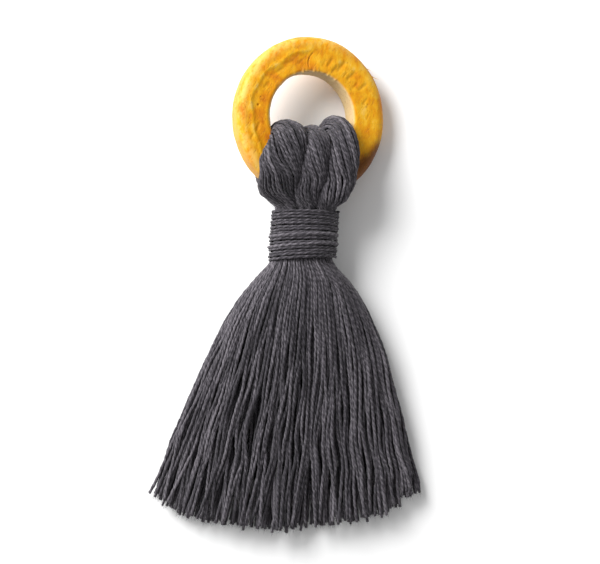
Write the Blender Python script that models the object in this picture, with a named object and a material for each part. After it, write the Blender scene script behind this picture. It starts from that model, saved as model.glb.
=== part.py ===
"""A yarn tassel on a flat wooden ring, lying on its back.

Metres, +Z up. The tassel lies along Y with its ring towards +Y, and rests on the plane z = 0.
One hank of yarn is folded over the ring's lower arc, a wrap holds the fold shut below the ring,
and the cut ends spread flat from there. The ring leans, because its right edge rests on the surface
while the fold holds its left edge up.
"""

import math
from collections import namedtuple

import bmesh
import bpy
from mathutils import Matrix, Vector

MM = 0.001
GAP = 0.3 * MM  # between pieces that touch

# The ring: a hand-cut wooden disc, a little longer than it is wide.
RING_WIDTH = 32.6 * MM
RING_LENGTH = 34.2 * MM
RING_HOLE_WIDTH = 18.4 * MM
RING_HOLE_LENGTH = 19.0 * MM
RING_THICKNESS = 6.2 * MM
RING_OUTER_EDGE = 1.9 * MM  # radius of the rounded outer edges
RING_INNER_EDGE = 0.8 * MM  # radius of the hole's edges
RING_LEAN = math.radians(17)  # the right-hand side lies lower
RING_X = -0.6 * MM
RING_Y = 34.9 * MM
RING_SIDES = 72
EDGE_STEPS = 3

# The neck wrap: an oval sleeve of yarn turns, one turn thick.
WRAP_TOP_Y = 15.5 * MM
WRAP_END_Y = 4.6 * MM
WRAP_X = 0.15 * MM
WRAP_Z = 6.5 * MM
WRAP_HALF_WIDTH = 7.25 * MM
WRAP_HALF_HEIGHT = 6.6 * MM
WRAP_THICKNESS = 0.85 * MM
WRAP_SIDES = 56

# The hank from the hem to the crest of its fold: one row per cross-section, in millimetres.
# left and right are the section's edges, bottom and top its lowest and highest points, and
# power how square its corners are, where 2 is an ellipse.
Section = namedtuple("Section", "y left right bottom top power")
CORE_HALF_WIDTH = (WRAP_HALF_WIDTH - WRAP_THICKNESS - GAP) / MM
CORE_HALF_HEIGHT = (WRAP_HALF_HEIGHT - WRAP_THICKNESS - GAP) / MM
CORE = {
    "left": WRAP_X / MM - CORE_HALF_WIDTH,
    "right": WRAP_X / MM + CORE_HALF_WIDTH,
    "bottom": WRAP_Z / MM - CORE_HALF_HEIGHT,
    "top": WRAP_Z / MM + CORE_HALF_HEIGHT,
    "power": 2.0,
}
SECTIONS = (
    Section(y=-46.5, left=-28.2, right=28.2, bottom=0.0, top=6.4, power=2.4),
    Section(y=-39.0, left=-26.4, right=27.2, bottom=0.0, top=7.0, power=2.4),
    Section(y=-32.0, left=-24.3, right=25.3, bottom=0.0, top=7.7, power=2.4),
    Section(y=-22.5, left=-20.9, right=22.5, bottom=0.0, top=8.9, power=2.3),
    Section(y=-12.0, left=-16.7, right=18.4, bottom=0.0, top=10.5, power=2.3),
    Section(y=-4.5, left=-13.0, right=14.6, bottom=0.0, top=11.8, power=2.2),
    Section(y=0.0, left=-9.8, right=11.4, bottom=0.0, top=12.4, power=2.1),
    Section(y=2.6, left=-7.7, right=8.9, bottom=0.2, top=12.7, power=2.0),
    Section(y=4.2, **CORE),
    Section(y=15.9, **CORE),
    Section(y=17.3, left=-7.5, right=8.2, bottom=0.5, top=13.6, power=2.2),
    Section(y=20.0, left=-9.3, right=10.0, bottom=0.0, top=15.2, power=2.5),
    Section(y=24.2, left=-10.3, right=11.0, bottom=0.0, top=16.2, power=2.8),
    Section(y=28.0, left=-9.9, right=10.7, bottom=0.4, top=16.2, power=2.8),
    Section(y=31.0, left=-8.9, right=9.6, bottom=1.4, top=15.4, power=2.8),
    Section(y=33.4, left=-8.3, right=9.0, bottom=3.2, top=13.6, power=2.7),
    Section(y=35.0, left=-7.7, right=8.4, bottom=5.0, top=11.6, power=2.4),
    Section(y=35.9, left=-6.7, right=7.4, bottom=6.4, top=10.2, power=2.2),
    Section(y=36.3, left=-5.4, right=6.1, bottom=7.5, top=9.1, power=2.0),
)
HANK_SIDES = 60
HANK_STEP = 1.9  # mm, the longest stretch between two loops of points, but for the straight neck

# The fold has three lobes: the grooves between them, and how far the middle lobe's crest is lower.
Groove = namedtuple("Groove", "x width depth")
GROOVES = (
    Groove(x=-2.3, width=1.1, depth=1.5),
    Groove(x=3.5, width=1.0, depth=1.3),
)
BACK_GROOVES = 0.5  # the back's grooves are this much as deep
CREST_DIP = 1.3  # mm, as are the next two
CREST_DIP_X = 0.5
CREST_DIP_WIDTH = 2.4

# Where along Y, in mm, each change comes in: from none of it at the first place to all at the second.
LIES_FLAT = (4.0, -6.0)
TURNS_WITH_RING = (16.5, 22.0)
CREST = (26.0, 34.0)
HEM_IS_CUT = (-32.0, -46.5)
LOWER_MIDDLE = 0.16  # the flat skirt is widest this share of its height below its middle
PRESSED_FLAT = 0.7  # the flat skirt's underside is a curve that much too deep, cut off at the surface

# The skirt: soft valleys that fan out from the neck. at is a share of the half width.
Valley = namedtuple("Valley", "at width depth")
VALLEYS = (
    Valley(at=-0.74, width=0.07, depth=1.0),
    Valley(at=-0.38, width=0.09, depth=0.6),
    Valley(at=0.12, width=0.07, depth=0.8),
    Valley(at=0.47, width=0.10, depth=0.9),
    Valley(at=0.80, width=0.06, depth=0.7),
)

# The hem's outline, in millimetres: how far the cut ends reach at each place across.
HemPoint = namedtuple("HemPoint", "x y")
HEM = (
    HemPoint(x=-28.2, y=-46.5),
    HemPoint(x=-21.0, y=-49.8),
    HemPoint(x=-12.0, y=-51.2),
    HemPoint(x=-4.5, y=-52.0),
    HemPoint(x=4.0, y=-50.8),
    HemPoint(x=17.5, y=-48.0),
    HemPoint(x=24.0, y=-45.4),
    HemPoint(x=28.2, y=-42.2),
)

YARN_COLOUR = (0.030, 0.029, 0.032, 1.0)
WOOD_COLOUR = (0.80, 0.42, 0.035, 1.0)
SMOOTH_ANGLE = math.radians(40)


def smoothstep(value, low, high):
    """0 at low and before it, 1 at high and past it, and an S-curve between; low may be the larger."""
    share = min(1.0, max(0.0, (value - low) / (high - low)))
    return share * share * (3.0 - 2.0 * share)


def bell(distance, width):
    return math.exp(-((distance / width) ** 2))


def along_rows(rows, place, key, column):
    """A column's value at a place along rows sorted by key, on a smooth curve through the rows."""
    keys = [getattr(row, key) for row in rows]
    values = [getattr(row, column) for row in rows]
    if place <= keys[0]:
        return values[0]
    if place >= keys[-1]:
        return values[-1]
    i = max(j for j in range(len(keys) - 1) if keys[j] <= place)

    def slope(j):
        """The harmonic mean of the slopes on either side, so that the curve never overshoots."""
        if j in (0, len(keys) - 1):
            return 0.0
        before = (values[j] - values[j - 1]) / (keys[j] - keys[j - 1])
        after = (values[j + 1] - values[j]) / (keys[j + 1] - keys[j])
        return 2 * before * after / (before + after) if before * after > 0 else 0.0

    span = keys[i + 1] - keys[i]
    t = (place - keys[i]) / span
    rise = values[i + 1] - values[i]
    start, end = slope(i) * span, slope(i + 1) * span
    curve = start * t + (3 * rise - 2 * start - end) * t**2 + (start + end - 2 * rise) * t**3
    return values[i] + curve


def clear_scene():
    for old in list(bpy.data.objects):
        bpy.data.objects.remove(old, do_unlink=True)


def principled(name, colour, roughness):
    material = bpy.data.materials.new(name)
    material.use_nodes = True
    shader = material.node_tree.nodes["Principled BSDF"]
    shader.inputs["Base Color"].default_value = colour
    shader.inputs["Roughness"].default_value = roughness
    shader.inputs["Metallic"].default_value = 0.0
    material.diffuse_color = colour
    return material


def add_object(name, bm, material):
    bmesh.ops.recalc_face_normals(bm, faces=bm.faces)
    mesh = bpy.data.meshes.new(name)
    bm.to_mesh(mesh)
    bm.free()
    mesh.shade_smooth()
    mesh.set_sharp_from_angle(angle=SMOOTH_ANGLE)
    mesh.materials.append(material)
    piece = bpy.data.objects.new(name, mesh)
    bpy.context.scene.collection.objects.link(piece)
    return piece


def bridge(bm, loops, closed):
    """Joins each loop of vertices to the next, and the last to the first where closed."""
    pairs = list(zip(loops, loops[1:]))
    if closed:
        pairs.append((loops[-1], loops[0]))
    for lower, upper in pairs:
        count = len(lower)
        for i in range(count):
            j = (i + 1) % count
            bm.faces.new((lower[i], lower[j], upper[j], upper[i]))


def ring_height_above_surface():
    """The height of the ring's centre where the low edge of the leaning ring touches z = 0."""
    reach = RING_WIDTH / 2 - RING_OUTER_EDGE
    half = RING_THICKNESS / 2 - RING_OUTER_EDGE
    return reach * math.sin(RING_LEAN) + half * math.cos(RING_LEAN) + RING_OUTER_EDGE


def ring_profile(grow):
    """The band's cross-section, a rounded rectangle, as (side, offset, height) points.

    side says which oval a point belongs to, the outer one or the hole's, and offset is how far
    outwards it lies from that oval, so that one profile serves every angle round the ring.
    """
    half = RING_THICKNESS / 2 + grow
    corners = (
        ("outer", 1, RING_OUTER_EDGE + grow, 0),
        ("inner", 1, RING_INNER_EDGE + grow, 90),
        ("inner", -1, RING_INNER_EDGE + grow, 180),
        ("outer", -1, RING_OUTER_EDGE + grow, 270),
    )
    points = []
    for side, up, radius, start in corners:
        for step in range(EDGE_STEPS + 1):
            angle = math.radians(start + 90 * step / EDGE_STEPS)
            outwards = radius * math.cos(angle)
            centre = grow - radius if side == "outer" else radius - grow
            points.append((side, centre + outwards, up * (half - radius) + radius * math.sin(angle)))
    return points


def ring_mesh(grow=0.0):
    bm = bmesh.new()
    loops = []
    profile = ring_profile(grow)
    for i in range(RING_SIDES):
        angle = 2 * math.pi * i / RING_SIDES
        across, along = math.cos(angle), math.sin(angle)
        outer = Vector((across * RING_WIDTH / 2, along * RING_LENGTH / 2, 0))
        inner = Vector((across * RING_HOLE_WIDTH / 2, along * RING_HOLE_LENGTH / 2, 0))
        outwards = (outer - inner).normalized()
        loop = []
        for side, offset, height in profile:
            base = outer if side == "outer" else inner
            loop.append(bm.verts.new(base + outwards * offset + Vector((0, 0, height))))
        loops.append(loop)
    bridge(bm, loops, closed=True)
    place = Matrix.Translation((RING_X, RING_Y, ring_height_above_surface()))
    bm.transform(place @ Matrix.Rotation(RING_LEAN, 4, "Y"))
    return bm


def hem_reach(x):
    return along_rows(HEM, x, "x", "y")


def valley_depth(share):
    return sum(v.depth * bell(share - v.at, v.width) for v in VALLEYS)


def groove_depth(x):
    return sum(g.depth * bell(x - g.x, g.width) for g in GROOVES)


def turned_with_ring(x, z, tilt):
    """Turns a place in a cross-section, in mm, about the ring's centre line by tilt."""
    centre_x, centre_z = RING_X / MM, ring_height_above_surface() / MM
    across, up = x - centre_x, z - centre_z
    return (
        centre_x + across * math.cos(tilt) + up * math.sin(tilt),
        centre_z - across * math.sin(tilt) + up * math.cos(tilt),
    )


def hank_point(y, angle):
    """One point of the hank's skin, in metres; y is its section's place in mm before the hem is cut."""
    left, right, bottom, top, power = (
        along_rows(SECTIONS, y, "y", name) for name in ("left", "right", "bottom", "top", "power")
    )
    lying = smoothstep(y, *LIES_FLAT)
    head = smoothstep(y, *TURNS_WITH_RING)
    share = math.copysign(abs(math.cos(angle)) ** (2 / power), math.cos(angle))
    height = math.copysign(abs(math.sin(angle)) ** (2 / power), math.sin(angle))
    x = (left + right) / 2 + share * (right - left) / 2
    middle = bottom + (top - bottom) * (0.5 - LOWER_MIDDLE * lying)
    if height > 0:
        z = middle + height * (top - middle)
        z -= height * (head * groove_depth(x) + lying * valley_depth(share))
    else:
        z = middle + height * (middle - bottom) * (1 + PRESSED_FLAT * lying)
        z -= height * head * groove_depth(x) * BACK_GROOVES
    x, z = turned_with_ring(x, z, RING_LEAN * head)
    z = max(z, bottom if lying else 0.0)
    dip = CREST_DIP * smoothstep(y, *CREST) * bell(x - CREST_DIP_X, CREST_DIP_WIDTH)
    cut = smoothstep(y, *HEM_IS_CUT) * (hem_reach(x) - SECTIONS[0].y)
    return Vector((x, y - dip + cut, z)) * MM


def stations():
    """The places along Y of the loft's loops, in mm: every row, and enough between rows."""
    places = [SECTIONS[0].y]
    for low, high in zip(SECTIONS, SECTIONS[1:]):
        straight = low[1:] == high[1:]
        pieces = 1 if straight else math.ceil((high.y - low.y) / HANK_STEP)
        places += [low.y + (high.y - low.y) * i / pieces for i in range(1, pieces + 1)]
    return places


def close_end(bm, loop):
    """Closes a loop with strips from its upper half straight down to its lower half."""
    count = len(loop)
    for i in range(count // 2):
        strip = (loop[i], loop[i + 1], loop[-i - 1], loop[-i % count])
        bm.faces.new(dict.fromkeys(strip))


def hank_mesh():
    bm = bmesh.new()
    loops = []
    for y in stations():
        angles = (2 * math.pi * i / HANK_SIDES for i in range(HANK_SIDES))
        loops.append([bm.verts.new(hank_point(y, angle)) for angle in angles])
    bridge(bm, loops, closed=False)
    close_end(bm, loops[0])
    close_end(bm, loops[-1])
    bmesh.ops.triangulate(bm, faces=bm.faces)
    return bm


def oval(half_width, half_height, angle, y):
    x = WRAP_X + half_width * math.cos(angle)
    z = max(0.0, WRAP_Z + half_height * math.sin(angle))
    return Vector((x, y, z))


def wrap_mesh():
    """A sleeve whose outer side rounds off at both ends, like the first and last turns."""
    bm = bmesh.new()
    round_off = WRAP_THICKNESS / 2
    outline = [(0.0, WRAP_END_Y + round_off)]
    for start, y in ((270, WRAP_END_Y + round_off), (0, WRAP_TOP_Y - round_off)):
        for step in range(EDGE_STEPS + 1):
            angle = math.radians(start + 90 * step / EDGE_STEPS)
            out = WRAP_THICKNESS / 2 + WRAP_THICKNESS / 2 * math.cos(angle)
            outline.append((out, y + round_off * math.sin(angle)))
    outline.append((0.0, WRAP_TOP_Y - round_off))
    inner_width = WRAP_HALF_WIDTH - WRAP_THICKNESS
    inner_height = WRAP_HALF_HEIGHT - WRAP_THICKNESS
    loops = []
    for out, y in outline:
        angles = (2 * math.pi * i / WRAP_SIDES for i in range(WRAP_SIDES))
        loops.append([bm.verts.new(oval(inner_width + out, inner_height + out, a, y)) for a in angles])
    bridge(bm, loops, closed=True)
    return bm


def cut_with(piece, cutter):
    cutter.hide_render = True
    cutter.display_type = "WIRE"
    cut = piece.modifiers.new("cut", "BOOLEAN")
    cut.operation = "DIFFERENCE"
    cut.solver = "EXACT"
    cut.object = cutter


def main():
    clear_scene()
    yarn = principled("yarn", YARN_COLOUR, 0.95)
    wrap_yarn = principled("wrap_yarn", YARN_COLOUR, 0.95)
    wood = principled("wood", WOOD_COLOUR, 0.55)
    add_object("ring", ring_mesh(), wood)
    hank = add_object("hank", hank_mesh(), yarn)
    ring_space = add_object("ring_space", ring_mesh(grow=GAP), wood)
    cut_with(hank, ring_space)
    add_object("neck_wrap", wrap_mesh(), wrap_yarn)


main()
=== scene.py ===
"""The looks of a charcoal yarn tassel on a hand-cut wooden ring, built round its CAD frame.

Every yarn is modelled as a twisted tube along its own path. The skirt's paths are laid on, and just
under, the skin of the CAD hank, the fold's paths wind round three lobes that pass through the ring,
and the wrap is one long yarn wound round the neck. The ring is a fine mesh with its rounded edges,
tool marks, cracks and burrs. Lengths are in metres, and the tables say where they are not.
"""

import math
from collections import namedtuple

import bpy
import numpy as np
from mathutils import Matrix, Vector, noise
from mathutils.bvhtree import BVHTree


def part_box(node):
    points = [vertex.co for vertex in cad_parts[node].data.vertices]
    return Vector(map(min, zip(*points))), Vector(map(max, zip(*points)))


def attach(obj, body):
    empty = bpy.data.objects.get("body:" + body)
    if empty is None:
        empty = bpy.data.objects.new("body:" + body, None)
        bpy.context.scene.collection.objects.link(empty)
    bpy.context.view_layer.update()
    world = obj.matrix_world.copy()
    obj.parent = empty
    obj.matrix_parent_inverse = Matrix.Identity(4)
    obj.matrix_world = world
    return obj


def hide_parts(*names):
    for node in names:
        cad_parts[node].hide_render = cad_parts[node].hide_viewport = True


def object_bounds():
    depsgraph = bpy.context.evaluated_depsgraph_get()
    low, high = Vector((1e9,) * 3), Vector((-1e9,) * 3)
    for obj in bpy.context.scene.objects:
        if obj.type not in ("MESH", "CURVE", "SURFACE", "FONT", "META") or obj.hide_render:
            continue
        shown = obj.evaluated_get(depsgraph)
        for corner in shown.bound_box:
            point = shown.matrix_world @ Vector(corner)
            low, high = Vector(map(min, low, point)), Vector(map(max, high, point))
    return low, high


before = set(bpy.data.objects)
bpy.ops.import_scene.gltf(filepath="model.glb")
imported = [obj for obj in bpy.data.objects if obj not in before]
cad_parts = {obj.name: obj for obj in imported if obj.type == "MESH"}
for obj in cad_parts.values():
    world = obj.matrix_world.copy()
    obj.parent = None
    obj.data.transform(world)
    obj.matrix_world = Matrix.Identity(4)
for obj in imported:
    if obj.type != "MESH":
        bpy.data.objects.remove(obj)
cad_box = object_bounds()

MM = 0.001
ROOT = "root"

# Yarn
YARN_RADIUS = 0.325 * MM
PLIES = 2
PLY_DEPTH = 0.11  # how far the plies stand out, as a share of the radius
PLY_PITCH = 2.7 * MM  # one full turn of the yarn's twist
WANDER = 0.035 * MM  # how far a yarn strays from its smooth path
WANDER_LENGTHS = (2.6 * MM, 1.5 * MM)
THICK_AND_THIN = 0.06  # how much a yarn's radius varies along it
THICK_AND_THIN_LENGTHS = (5 * MM, 2.1 * MM, 1.2 * MM)
SHADE_LENGTHS = (21 * MM, 9 * MM, 3 * MM)  # over which a yarn's own shade changes
END_DOME = 0.25  # how far a cut end bulges, as a share of the radius

# Skirt
SURFACE_YARNS = 190
INNER_YARNS = 150
NECK_START_Y = 13.5 * MM  # the skirt's yarns start here, inside the wrap
WRAP_END_Y = 4.6 * MM
LAST_STATION_Y = -41.0 * MM  # below it the hem cuts the CAD sections, so paths run straight on
STATIONS = 55
OUTLINE_POINTS = 240
RAYS = 480  # cast round each section to find its skin
MIDDLE_X = 0.3 * MM  # a little off the CAD mesh's middle line, so that no ray runs along an edge
HEM_EDGE_X = 27.6 * MM  # beyond it the hem's corner is taken to reach as far as here
HEM_HEIGHT = 1.6 * MM  # where the hem's reach is measured
HEM_RUN = 7.5 * MM  # about how far the hem lies below the last station
GOLDEN_SHARE = 0.61803398875  # its multiples spread evenly between 0 and 1, in no visible order
PLASTIC_SHARE = 0.7548776662  # its multiples do the same in another order
FRONT_SHARES = (0.22, 0.78)  # the skirt's upper side, as shares of the way round the section

# Ring, the same sizes as in the CAD
RING_WIDTH = 32.6 * MM
RING_LENGTH = 34.2 * MM
HOLE_WIDTH = 18.4 * MM
HOLE_LENGTH = 19.0 * MM
RING_THICKNESS = 6.2 * MM
RING_LEAN = math.radians(17)


# ---------------------------------------------------------------------------------------------
# Small helpers


def smoothstep(value, low, high):
    """0 at low and before it, 1 at high and past it, and an S-curve between; low may be the larger."""
    share = np.clip((value - low) / (high - low), 0.0, 1.0)
    return share * share * (3.0 - 2.0 * share)


def bell(distance, width):
    return np.exp(-((distance / width) ** 2))


def waves(rng, places, lengths, heights):
    """A smooth random curve over places: a sum of sines with random phases and nearby lengths."""
    total = np.zeros(len(places))
    for length, height in zip(lengths, heights):
        own_length = length * rng.uniform(0.75, 1.3)
        total += height * np.sin(2 * math.pi * places / own_length + rng.uniform(0, 2 * math.pi))
    return total


def lengths_along(path):
    """How far along the path each of its points lies."""
    return np.concatenate([[0.0], np.cumsum(np.linalg.norm(np.diff(path, axis=0), axis=1))])


def resample(path, step):
    """The path's points at equal distances of about step, ends kept."""
    lengths = lengths_along(path)
    count = max(4, int(round(lengths[-1] / step)) + 1)
    places = np.linspace(0.0, lengths[-1], count)
    return np.stack([np.interp(places, lengths, path[:, k]) for k in range(3)], axis=1)


def smoothed(path):
    """The path with its corners rounded off, ends kept."""
    for _ in range(2):
        middle = (path[:-2] + 2 * path[1:-1] + path[2:]) / 4
        path = np.concatenate([path[:1], middle, path[-1:]])
    return path


def unit(vectors):
    return vectors / np.linalg.norm(vectors, axis=-1, keepdims=True)


def link(name, mesh):
    piece = bpy.data.objects.new(name, mesh)
    bpy.context.scene.collection.objects.link(piece)
    return piece


def store(mesh, label, values):
    """Writes one number, or one vector, for each vertex of the mesh as an attribute."""
    values = np.asarray(values, dtype=np.float32)
    kind, field = ("FLOAT_VECTOR", "vector") if values.ndim == 2 else ("FLOAT", "value")
    mesh.attributes.new(label, kind, "POINT").data.foreach_set(field, values.ravel())


# ---------------------------------------------------------------------------------------------
# Yarn meshes


def tube(path, radius, sides, reference, pitch, phase):
    """A twisted tube along path.

    Gives its points, how far each stands on a ply, from 0 to 1, and how far along each loop of them is.
    """
    tangent = unit(np.gradient(path, axis=0))
    side = unit(np.cross(tangent, np.array(reference, float)))
    up = np.cross(side, tangent)
    along = lengths_along(path)
    angle = 2 * math.pi * np.arange(sides) / sides
    crest = 0.5 + 0.5 * np.cos(PLIES * (angle[None, :] - phase - 2 * math.pi * along[:, None] / pitch))
    reach = radius[:, None] * (1 - PLY_DEPTH + PLY_DEPTH * crest)
    offsets = np.cos(angle)[None, :, None] * side[:, None, :] + np.sin(angle)[None, :, None] * up[:, None, :]
    return path[:, None, :] + reach[:, :, None] * offsets, crest, along


def yarn_object(name, paths, seed, step, sides=8, reference=(0, 0, 1), thin=None):
    """One mesh of twisted yarns, a closed tube along each path, with the attributes its material reads.

    tone is each yarn's own shade, ply is 1 on the crest of a ply and 0 between plies, and thread is a
    place in a straightened, untwisted copy of the yarn, in yarn widths, so that fibres drawn along
    its length follow the twist.
    """
    rng = np.random.default_rng(seed)
    vertices, quads, triangles = [], [], []
    tones, plies, threads = [], [], []
    ring = np.arange(sides)
    after = (ring + 1) % sides
    start = 0
    for index, path in enumerate(paths):
        path = resample(path, step)
        count = len(path)
        run = np.linspace(0, 1, count) * step * count
        stray = [waves(rng, run, WANDER_LENGTHS, (1, 0.5)) for _ in range(3)]
        path = path + WANDER * np.stack(stray, axis=1)
        size = rng.uniform(0.90, 1.08)
        uneven = waves(rng, run, THICK_AND_THIN_LENGTHS, (0.8, 1, 0.8))
        radius = YARN_RADIUS * size * (1 + THICK_AND_THIN * uneven)
        if thin is not None:
            radius = radius * thin(path)
        phase = rng.uniform(0, math.pi)
        pitch = PLY_PITCH * rng.uniform(0.85, 1.2)
        points, crest, along = tube(path, radius, sides, reference, pitch, phase)
        points[..., 2] = np.maximum(points[..., 2], 0.0)
        tone = rng.normal(0.0, 1.0) + 0.45 * waves(rng, run, SHADE_LENGTHS, (0.9, 0.8, 0.8))
        rows = start + sides * np.arange(count - 1)[:, None]
        corners = (rows + ring, rows + after, rows + sides + after, rows + sides + ring)
        quads.append(np.stack(corners, axis=-1).reshape(-1, 4))
        # The cut ends are a little domed, like blunt snipped yarn.
        dome = YARN_RADIUS * END_DOME
        first = path[0] - unit(path[1] - path[0]) * dome
        last = path[-1] + unit(path[-1] - path[-2]) * dome
        end = start + sides * count
        top = end - sides
        triangles.append(np.stack([start + after, start + ring, np.full(sides, end)], axis=-1))
        triangles.append(np.stack([top + ring, top + after, np.full(sides, end + 1)], axis=-1))
        vertices += [points.reshape(-1, 3), first[None], last[None]]
        tones.append(np.concatenate([np.repeat(tone, sides), tone[[0, -1]]]))
        # ply is read by the material as painted shade between the plies and a painted highlight on their
        # crests.
        plies.append(np.concatenate([crest.ravel(), [0.3, 0.3]]))
        turn = 2 * math.pi * (ring[None, :] / sides - along[:, None] / PLY_PITCH)
        far = np.broadcast_to(along[:, None] / (2 * YARN_RADIUS) + 17.3 * index, turn.shape)
        thread = np.stack([np.cos(turn), np.sin(turn), far], axis=-1)
        threads += [thread.reshape(-1, 3), thread[[0, -1], 0]]
        start = end + 2
    mesh = bpy.data.meshes.new(name)
    faces = np.concatenate(quads).tolist() + np.concatenate(triangles).tolist()
    mesh.from_pydata(np.concatenate(vertices), [], faces)
    for label, values in (("tone", tones), ("ply", plies), ("thread", threads)):
        store(mesh, label, np.concatenate(values))
    mesh.shade_smooth()
    return link(name, mesh)


# ---------------------------------------------------------------------------------------------
# The skirt


def cad_tree(node):
    """A tree of the CAD node's faces, for casting rays at its skin."""
    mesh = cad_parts[node].data
    points = [vertex.co.copy() for vertex in mesh.vertices]
    return BVHTree.FromPolygons(points, [tuple(face.vertices) for face in mesh.polygons])


class Skin:
    """The hank's skin below the wrap, measured on the CAD solid.

    outline[s, k] is the point at station s and at share k / OUTLINE_POINTS of the way round, counted
    from the middle of the underside. core[s, k] is the place on the section's middle line that lies
    inwards from it. reach[s] is the section's perimeter.
    """

    def __init__(self, tree):
        self.ys = np.linspace(NECK_START_Y, LAST_STATION_Y, STATIONS)
        rows, cores, reaches = [], [], []
        for y in self.ys:
            outline = self.measure(tree, y)
            closed = np.concatenate([outline, outline[:1]])
            places = lengths_along(closed)
            wanted = np.linspace(0, places[-1], OUTLINE_POINTS, endpoint=False)
            even = np.stack([np.interp(wanted, places, closed[:, k]) for k in range(3)], axis=1)
            rows.append(even)
            height = even[:, 2].max()
            left, right = even[:, 0].min() + 0.45 * height, even[:, 0].max() - 0.45 * height
            if left > right:
                left = right = (left + right) / 2
            core = even.copy()
            core[:, 0] = np.clip(even[:, 0], left, right)
            core[:, 2] = (height + even[:, 2].min()) * 0.45
            cores.append(core)
            reaches.append(places[-1])
        self.outline, self.core, self.reach = np.array(rows), np.array(cores), np.array(reaches)

    @staticmethod
    def measure(tree, y):
        """The skin's points round the section at y, from the middle of the underside."""
        top = tree.ray_cast(Vector((MIDDLE_X, y, 0.1)), Vector((0, 0, -1)))[0].z
        low = tree.ray_cast(Vector((MIDDLE_X, y, -0.1)), Vector((0, 0, 1)))[0].z
        centre = Vector((MIDDLE_X, y, low + 0.42 * (top - low)))
        found = []
        for angle in np.linspace(0, 2 * math.pi, RAYS, endpoint=False):
            way = Vector((-math.sin(angle), 0, -math.cos(angle)))
            found.append(tuple(tree.ray_cast(centre, way)[0]))
        return np.array(found)

    def lay(self, share, depth):
        """A path down the skirt: share round the section and depth under the skin, at each station."""
        place = (share % 1.0) * OUTLINE_POINTS
        low = np.floor(place).astype(int)
        part = (place - low)[:, None]
        row = np.arange(STATIONS)
        after = (low + 1) % OUTLINE_POINTS
        low = low % OUTLINE_POINTS
        skin = self.outline[row, low] * (1 - part) + self.outline[row, after] * part
        core = self.core[row, low] * (1 - part) + self.core[row, after] * part
        inwards = core - skin
        room = np.linalg.norm(inwards, axis=1)
        return skin + inwards * (np.minimum(depth, room * 0.96) / np.maximum(room, 1e-6))[:, None]


def hem_y(tree, x):
    """How far the CAD hem reaches at x."""
    x = min(max(x, -HEM_EDGE_X), HEM_EDGE_X)
    return tree.ray_cast(Vector((x, -0.1, HEM_HEIGHT)), Vector((0, 1, 0)))[0].y


def run_to_hem(path, tree, rng, ragged):
    """Carries a path straight on from the last station to the hem, and cuts it there."""
    slope = (path[-1] - path[-6]) / (path[-1, 1] - path[-6, 1])
    end_x = path[-1, 0] - slope[0] * HEM_RUN
    end_y = hem_y(tree, end_x) + float(np.clip(rng.normal(0, ragged), -2.2 * ragged, 2.2 * ragged))
    steps = np.linspace(path[-1, 1], end_y, 10)[1:]
    bend = np.linspace(0, 1, 10)[1:, None] ** 2
    tail = path[-1] + slope * (steps - path[-1, 1])[:, None]
    tail = tail + bend * np.array([rng.normal(0, 0.25), 0, rng.normal(0, 0.2)]) * MM
    whole = np.concatenate([path, tail])
    whole[:, 2] = np.maximum(whole[:, 2], YARN_RADIUS * 0.98)
    return smoothed(whole)


def surface_paths(skin, tree):
    """The yarns of the skirt's skin, front and back, in order round the section."""
    rng = np.random.default_rng(11)
    count = SURFACE_YARNS
    shares = (np.arange(count) + rng.uniform(-0.32, 0.32, count)) / count
    # A yarn's rank says whether it is on the skin at the neck already or comes up later.
    ranks = (np.arange(count) * GOLDEN_SHARE + 0.13) % 1.0
    # Neighbours gather into small locks near the hem.
    locks, i = np.zeros(count), 0
    while i < count:
        size = int(rng.integers(2, 6))
        locks[i : i + size] = shares[i : i + size].mean()
        i += size
    spread = skin.reach / skin.reach[-1]
    down = WRAP_END_Y - skin.ys
    low = smoothstep(skin.ys, -8 * MM, -44 * MM)
    paths = []
    for j in range(count):
        lock = (locks[j] - shares[j]) * low * rng.uniform(0.1, 0.6)
        sway = smoothstep(down, 3 * MM, 22 * MM) * (0.7 + 0.6 * low)
        drift = waves(rng, down, (34 * MM, 15 * MM, 7 * MM), (0.38 * MM, 0.20 * MM, 0.07 * MM)) * sway
        stray = rng.normal(0, 1.3 * MM) * low if rng.random() < 0.14 else 0.0
        share = shares[j] + lock + (drift + stray) / skin.reach
        buried = 4.0 * MM * np.maximum(0.0, ranks[j] - spread / 0.90)
        lift = waves(rng, down, (26 * MM, 11 * MM), (0.26 * MM, 0.12 * MM))
        lift = lift * smoothstep(down, 2 * MM, 14 * MM)
        sunk = 0.42 * MM * abs(rng.normal(0, 1)) * smoothstep(down, 6 * MM, 28 * MM)
        depth = YARN_RADIUS + buried + np.maximum(sunk + lift, -0.25 * MM)
        paths.append(run_to_hem(smoothed(skin.lay(share, depth)), tree, rng, 0.45 * MM))
    return paths, shares


def inner_paths(skin, tree):
    """The yarns under the skin, which show through its gaps and at the hem."""
    rng = np.random.default_rng(23)
    down = WRAP_END_Y - skin.ys
    open_up = smoothstep(down, -1 * MM, 24 * MM)
    paths = []
    for j in range(INNER_YARNS):
        share = (j * PLASTIC_SHARE + 0.05 * rng.uniform()) % 1.0
        layer = rng.uniform(1.15, 3.3) * MM
        drift = waves(rng, down, (30 * MM, 13 * MM), (0.7 * MM, 0.25 * MM)) * open_up
        depth = layer * (1.9 - 0.9 * open_up) + waves(rng, down, (22 * MM,), (0.2 * MM,))
        laid = smoothed(skin.lay(share + drift / skin.reach, depth))
        paths.append(run_to_hem(laid, tree, rng, 0.55 * MM))
    return paths


def neck_squeeze(path):
    """Yarn is pressed thinner where the wrap holds it."""
    return 0.86 + 0.14 * smoothstep(path[:, 1], 5 * MM, -4 * MM)


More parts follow.
